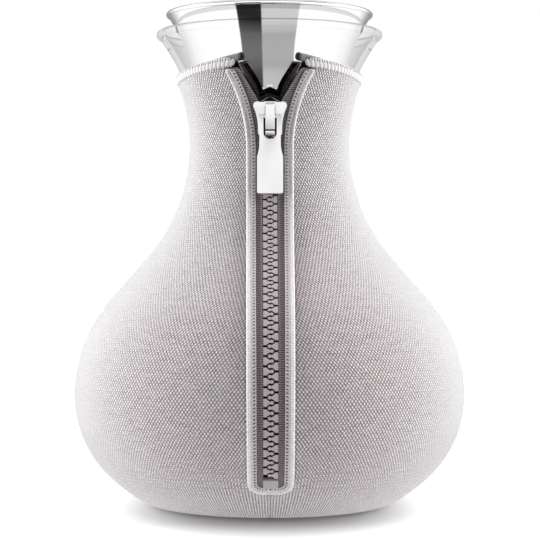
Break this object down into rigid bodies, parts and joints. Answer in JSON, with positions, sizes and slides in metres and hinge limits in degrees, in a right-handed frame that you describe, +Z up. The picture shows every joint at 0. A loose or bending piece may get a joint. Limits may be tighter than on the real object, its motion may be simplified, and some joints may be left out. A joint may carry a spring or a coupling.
{
  "type": "tea maker",
  "caption": "Glass carafe tea maker in a zipped knit cover, with a steel pouring funnel, a flip lid and a hanging tea strainer.",
  "frame": {"origin": "on the floor under the middle of the base", "axes": "+Z up along the carafe's axis, -Y towards the zip at the front, +X to the right of someone facing the zip"},
  "size_m": [0.1512, 0.1523, 0.1908],
  "materials": {
    "glass": "clear, fire polished",
    "polished_steel": "mirror polished",
    "satin_steel": "satin",
    "steel_mesh": "woven",
    "black_silicone": "matt",
    "black_plastic": "fine texture",
    "knit": "two-tone knit",
    "binding": "plain knit",
    "zip_tape": "woven tape",
    "zip_teeth": "satin"
  },
  "bodies": {
    "carafe": {"glass_carafe": "glass", "cover_panel_right": "knit", "cover_panel_left": "knit", "cover_base": "knit", "neck_binding_right": "binding", "neck_binding_left": "binding", "zip_welt": "binding", "zip_tape_right": "zip_tape", "zip_tape_left": "zip_tape", "zip_teeth_right": "zip_teeth", "zip_teeth_left": "zip_teeth", "zip_bottom_stop": "zip_teeth", "zip_top_stop_right": "zip_teeth", "zip_top_stop_left": "zip_teeth"},
    "pouring_head": {"pouring_funnel": "polished_steel", "neck_seal": "black_silicone", "lid_seat": "black_plastic", "hinge_pin": "satin_steel"},
    "lid": {"flip_lid": "polished_steel", "lid_gasket": "black_silicone"},
    "strainer": {"strainer_frame": "black_plastic", "strainer_mesh": "steel_mesh"},
    "slider": {"slider_body": "satin_steel", "slider_bridge": "satin_steel"},
    "pull_tab": {"pull_tab": "satin_steel"}
  },
  "joints": [
    {"name": "head_lift", "type": "slide", "parent": "carafe", "child": "pouring_head", "axis": [0, 0, 1], "range_m": [0, 0.13]},
    {"name": "lid_flip", "type": "hinge", "parent": "pouring_head", "child": "lid", "pos_m": [0, 0.02687, 0.1741], "axis": [-1, 0, 0], "range_deg": [0, 80]},
    {"name": "strainer_pull", "type": "slide", "parent": "pouring_head", "child": "strainer", "axis": [0, 0, -1], "range_m": [0, 0.02]},
    {"name": "slider_travel", "type": "hinge", "parent": "carafe", "child": "slider", "pos_m": [0, -0.09699, 0.1397], "axis": [-1, 0, 0], "range_deg": [0, 43], "deforming": ["zip_teeth_right", "zip_teeth_left"]},
    {"name": "pull_swing", "type": "hinge", "parent": "slider", "child": "pull_tab", "pos_m": [0, -0.03523, 0.14853], "axis": [-1, 0, 0], "range_deg": [0, 150]}
  ]
}
